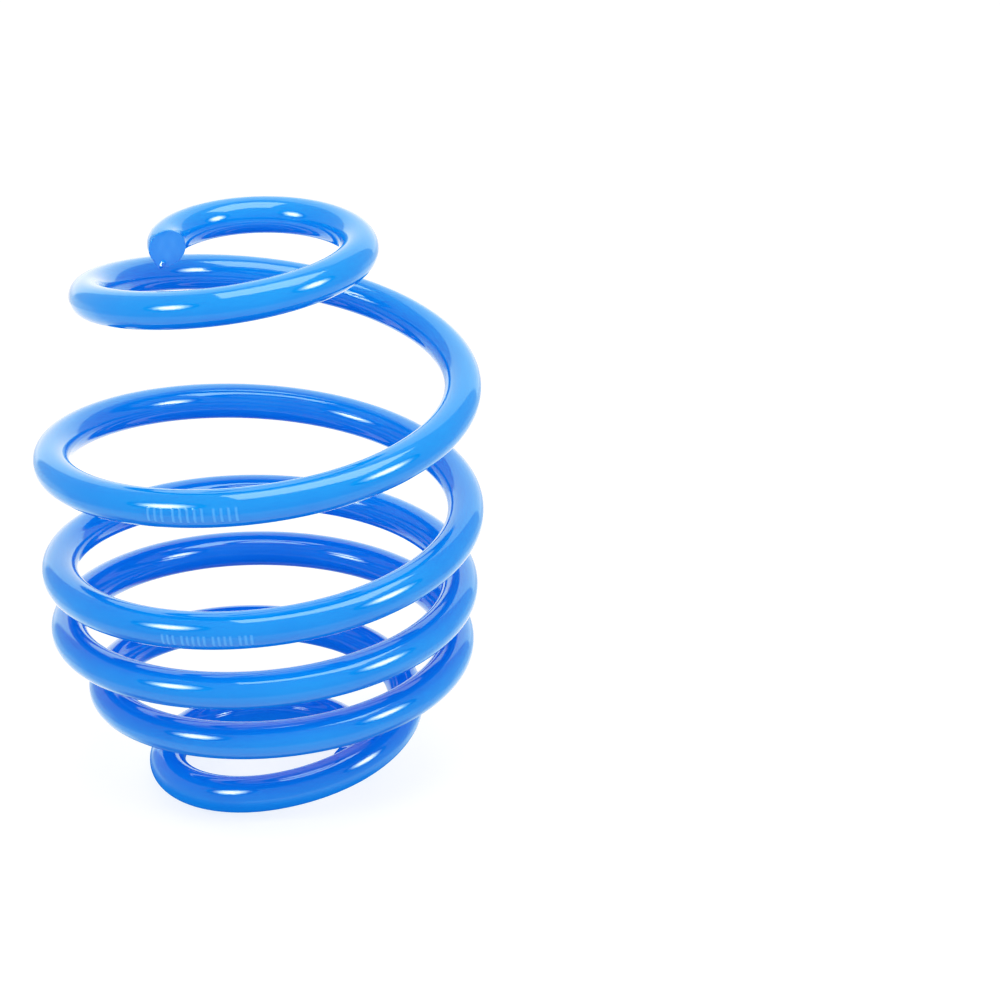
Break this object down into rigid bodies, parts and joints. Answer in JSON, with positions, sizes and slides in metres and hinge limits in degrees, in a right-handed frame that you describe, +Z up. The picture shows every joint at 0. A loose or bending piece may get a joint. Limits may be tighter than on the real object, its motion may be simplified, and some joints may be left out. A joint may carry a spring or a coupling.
{
  "type": "coil spring",
  "caption": "Barrel-shaped suspension coil spring of round bar, widely wound above and closely below, with a small flat coil at each end, glossy painted.",
  "frame": {"origin": "on the winding axis, in the plane that the lower end coil rests on", "axes": "+Z up along the winding axis to the upper end coil; the bar's upper tip is on the -X side and its cut face looks along -Y"},
  "size_m": [0.152, 0.1521, 0.2002],
  "materials": {
    "blue_enamel": "gloss"
  },
  "bodies": {
    "upper_end_coil": {"upper_end_coil": "blue_enamel"},
    "coil_1_front_left": {"coil_1_front_left": "blue_enamel"},
    "coil_2_back_left": {"coil_2_back_left": "blue_enamel"},
    "coil_2_back_right": {"coil_2_back_right": "blue_enamel"},
    "coil_2_front_right": {"coil_2_front_right": "blue_enamel"},
    "coil_2_front_left": {"coil_2_front_left": "blue_enamel"},
    "coil_3_back_left": {"coil_3_back_left": "blue_enamel"},
    "coil_3_back_right": {"coil_3_back_right": "blue_enamel"},
    "coil_3_front_right": {"coil_3_front_right": "blue_enamel"},
    "coil_3_front_left": {"coil_3_front_left": "blue_enamel"},
    "coil_4_back_left": {"coil_4_back_left": "blue_enamel"},
    "coil_4_back_right": {"coil_4_back_right": "blue_enamel"},
    "coil_4_front_right": {"coil_4_front_right": "blue_enamel"},
    "coil_4_front_left": {"coil_4_front_left": "blue_enamel"},
    "coil_5_back_left": {"coil_5_back_left": "blue_enamel"},
    "coil_5_back_right": {"coil_5_back_right": "blue_enamel"},
    "coil_5_front_right": {"coil_5_front_right": "blue_enamel"},
    "coil_5_front_left": {"coil_5_front_left": "blue_enamel"},
    "coil_6_back_left": {"coil_6_back_left": "blue_enamel"},
    "coil_6_back_right": {"coil_6_back_right": "blue_enamel"},
    "coil_6_front_right": {"coil_6_front_right": "blue_enamel"},
    "lower_end_coil": {"lower_end_coil": "blue_enamel"}
  },
  "joints": [
    {"name": "compression", "type": "hinge", "parent": "lower_end_coil", "child": "coil_6_front_right", "pos_m": [0, -0.04211, 0.01189], "axis": [-0.9808, 0.0874, -0.1743], "range_deg": [0, 2], "stiffness_Nm_per_rad": 2220},
    {"name": "coil_6_back_right_twist", "type": "hinge", "parent": "coil_6_front_right", "child": "coil_6_back_right", "pos_m": [0.04761, 0, 0.0234], "axis": [-0.0645, -0.9892, -0.1316], "range_deg": [0, 1.23], "stiffness_Nm_per_rad": 2510},
    {"name": "coil_6_back_left_twist", "type": "hinge", "parent": "coil_6_back_right", "child": "coil_6_back_left", "pos_m": [0, 0.05186, 0.03044], "axis": [0.9966, -0.0473, -0.068], "range_deg": [0, 2.58], "stiffness_Nm_per_rad": 2320},
    {"name": "coil_5_front_left_twist", "type": "hinge", "parent": "coil_6_back_left", "child": "coil_5_front_left", "pos_m": [-0.05587, 0, 0.036], "axis": [0.0496, 0.9968, -0.0631], "range_deg": [0, 2.65], "stiffness_Nm_per_rad": 2150},
    {"name": "coil_5_front_right_twist", "type": "hinge", "parent": "coil_5_front_left", "child": "coil_5_front_right", "pos_m": [0, -0.06068, 0.04156], "axis": [-0.9968, 0.0547, -0.0581], "range_deg": [0, 1.64], "stiffness_Nm_per_rad": 1980},
    {"name": "coil_5_back_right_twist", "type": "hinge", "parent": "coil_5_front_right", "child": "coil_5_back_right", "pos_m": [0.06567, 0, 0.04711], "axis": [-0.038, -0.9978, -0.0537], "range_deg": [0, 1.26], "stiffness_Nm_per_rad": 1840},
    {"name": "coil_5_back_left_twist", "type": "hinge", "parent": "coil_5_back_right", "child": "coil_5_back_left", "pos_m": [0, 0.0678, 0.05267], "axis": [0.9986, -0.003, -0.0521], "range_deg": [0, 1.79], "stiffness_Nm_per_rad": 1780},
    {"name": "coil_4_front_left_twist", "type": "hinge", "parent": "coil_5_back_left", "child": "coil_4_front_left", "pos_m": [-0.06758, 0, 0.05822], "axis": [-0.0025, 0.9986, -0.0523], "range_deg": [0, 1.97], "stiffness_Nm_per_rad": 1780},
    {"name": "coil_4_front_right_twist", "type": "hinge", "parent": "coil_4_front_left", "child": "coil_4_front_right", "pos_m": [0, -0.06732, 0.06378], "axis": [-0.9986, -0.0025, -0.0525], "range_deg": [0, 1.49], "stiffness_Nm_per_rad": 1790},
    {"name": "coil_4_back_right_twist", "type": "hinge", "parent": "coil_4_front_right", "child": "coil_4_back_right", "pos_m": [0.06724, 0, 0.06933], "axis": [-0.0039, -0.9986, -0.0525], "range_deg": [0, 1.36], "stiffness_Nm_per_rad": 1790},
    {"name": "coil_4_back_left_twist", "type": "hinge", "parent": "coil_4_back_right", "child": "coil_4_back_left", "pos_m": [0, 0.06825, 0.07489], "axis": [0.9986, -0.0146, -0.0517], "range_deg": [0, 1.72], "stiffness_Nm_per_rad": 1760},
    {"name": "coil_3_front_left_twist", "type": "hinge", "parent": "coil_4_back_left", "child": "coil_3_front_left", "pos_m": [-0.06936, 0, 0.08044], "axis": [0.0057, 0.9987, -0.0509], "range_deg": [0, 1.89], "stiffness_Nm_per_rad": 1740},
    {"name": "coil_3_front_right_twist", "type": "hinge", "parent": "coil_3_front_left", "child": "coil_3_front_right", "pos_m": [0, -0.06959, 0.08717], "axis": [-0.9969, 0.0007, -0.0788], "range_deg": [0, 3.61], "stiffness_Nm_per_rad": 1730},
    {"name": "coil_3_back_right_twist", "type": "hinge", "parent": "coil_3_front_right", "child": "coil_3_back_right", "pos_m": [0.06967, 0, 0.09773], "axis": [-0.0007, -0.9943, -0.1066], "range_deg": [0, 4.63], "stiffness_Nm_per_rad": 1720},
    {"name": "coil_3_back_left_twist", "type": "hinge", "parent": "coil_3_back_right", "child": "coil_3_back_left", "pos_m": [0, 0.06975, 0.10945], "axis": [0.9944, -0.0007, -0.1053], "range_deg": [0, 6.62], "stiffness_Nm_per_rad": 1720},
    {"name": "coil_2_front_left_twist", "type": "hinge", "parent": "coil_3_back_left", "child": "coil_2_front_left", "pos_m": [-0.06982, 0, 0.12063], "axis": [0.0007, 0.9952, -0.0976], "range_deg": [0, 6], "stiffness_Nm_per_rad": 1720},
    {"name": "coil_2_front_right_twist", "type": "hinge", "parent": "coil_2_front_left", "child": "coil_2_front_right", "pos_m": [0, -0.0699, 0.13114], "axis": [-0.9955, 0.0007, -0.0948], "range_deg": [0, 5.37], "stiffness_Nm_per_rad": 1720},
    {"name": "coil_2_back_right_twist", "type": "hinge", "parent": "coil_2_front_right", "child": "coil_2_back_right", "pos_m": [0.06938, 0, 0.14365], "axis": [0.0241, -0.9907, -0.134], "range_deg": [0, 6.64], "stiffness_Nm_per_rad": 1730},
    {"name": "coil_2_back_left_twist", "type": "hinge", "parent": "coil_2_back_right", "child": "coil_2_back_left", "pos_m": [0, 0.06363, 0.1602], "axis": [0.9817, 0.0869, -0.1694], "range_deg": [0, 4.45], "stiffness_Nm_per_rad": 1870},
    {"name": "coil_1_front_left_twist", "type": "hinge", "parent": "coil_2_back_left", "child": "coil_1_front_left", "pos_m": [-0.0543, 0, 0.17744], "axis": [-0.1068, 0.9746, -0.1971], "range_deg": [0, 2.45], "stiffness_Nm_per_rad": 2170},
    {"name": "upper_end_coil_twist", "type": "hinge", "parent": "coil_1_front_left", "child": "upper_end_coil", "pos_m": [0, -0.04495, 0.19106], "axis": [-0.9849, -0.1304, -0.1139], "range_deg": [0, 2.91], "stiffness_Nm_per_rad": 1530}
  ],
  "couplings": [
    {"joint": "coil_6_back_right_twist", "follows": "compression", "ratio": 0.613},
    {"joint": "coil_6_back_left_twist", "follows": "compression", "ratio": 1.287},
    {"joint": "coil_5_front_left_twist", "follows": "compression", "ratio": 1.322},
    {"joint": "coil_5_front_right_twist", "follows": "compression", "ratio": 0.818},
    {"joint": "coil_5_back_right_twist", "follows": "compression", "ratio": 0.626},
    {"joint": "coil_5_back_left_twist", "follows": "compression", "ratio": 0.89},
    {"joint": "coil_4_front_left_twist", "follows": "compression", "ratio": 0.984},
    {"joint": "coil_4_front_right_twist", "follows": "compression", "ratio": 0.744},
    {"joint": "coil_4_back_right_twist", "follows": "compression", "ratio": 0.678},
    {"joint": "coil_4_back_left_twist", "follows": "compression", "ratio": 0.856},
    {"joint": "coil_3_front_left_twist", "follows": "compression", "ratio": 0.944},
    {"joint": "coil_3_front_right_twist", "follows": "compression", "ratio": 1.8},
    {"joint": "coil_3_back_right_twist", "follows": "compression", "ratio": 2.313},
    {"joint": "coil_3_back_left_twist", "follows": "compression", "ratio": 3.305},
    {"joint": "coil_2_front_left_twist", "follows": "compression", "ratio": 2.997},
    {"joint": "coil_2_front_right_twist", "follows": "compression", "ratio": 2.683},
    {"joint": "coil_2_back_right_twist", "follows": "compression", "ratio": 3.315},
    {"joint": "coil_2_back_left_twist", "follows": "compression", "ratio": 2.22},
    {"joint": "coil_1_front_left_twist", "follows": "compression", "ratio": 1.221},
    {"joint": "upper_end_coil_twist", "follows": "compression", "ratio": 1.45}
  ]
}
